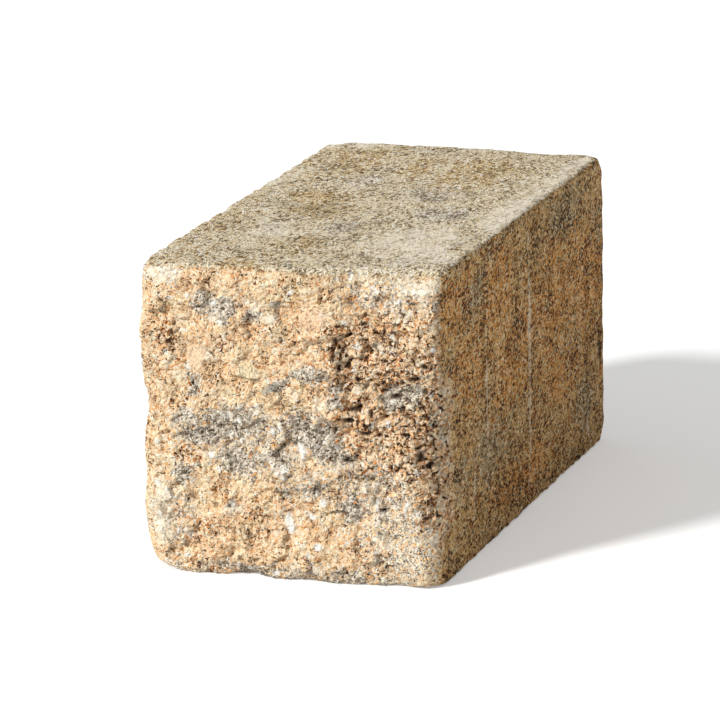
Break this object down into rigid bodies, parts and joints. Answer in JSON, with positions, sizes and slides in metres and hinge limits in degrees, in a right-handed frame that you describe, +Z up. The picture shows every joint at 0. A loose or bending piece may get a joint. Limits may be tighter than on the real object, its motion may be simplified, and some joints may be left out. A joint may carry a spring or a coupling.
{
  "type": "split-face concrete block",
  "caption": "Solid rectangular concrete wall block with one rough split face, flat beds and moulded sides, for dry-laid garden and retaining walls.",
  "frame": {"origin": "middle of the bed the block stands on, under the middle of its bounding box", "axes": "+X along the width of the split face, +Y from the split face to the back, +Z up"},
  "size_m": [0.148, 0.299, 0.152],
  "materials": {
    "concrete": "matt dry-cast concrete, tan, rust and charcoal blend"
  },
  "bodies": {
    "root": {"block": "concrete"}
  },
  "joints": []
}
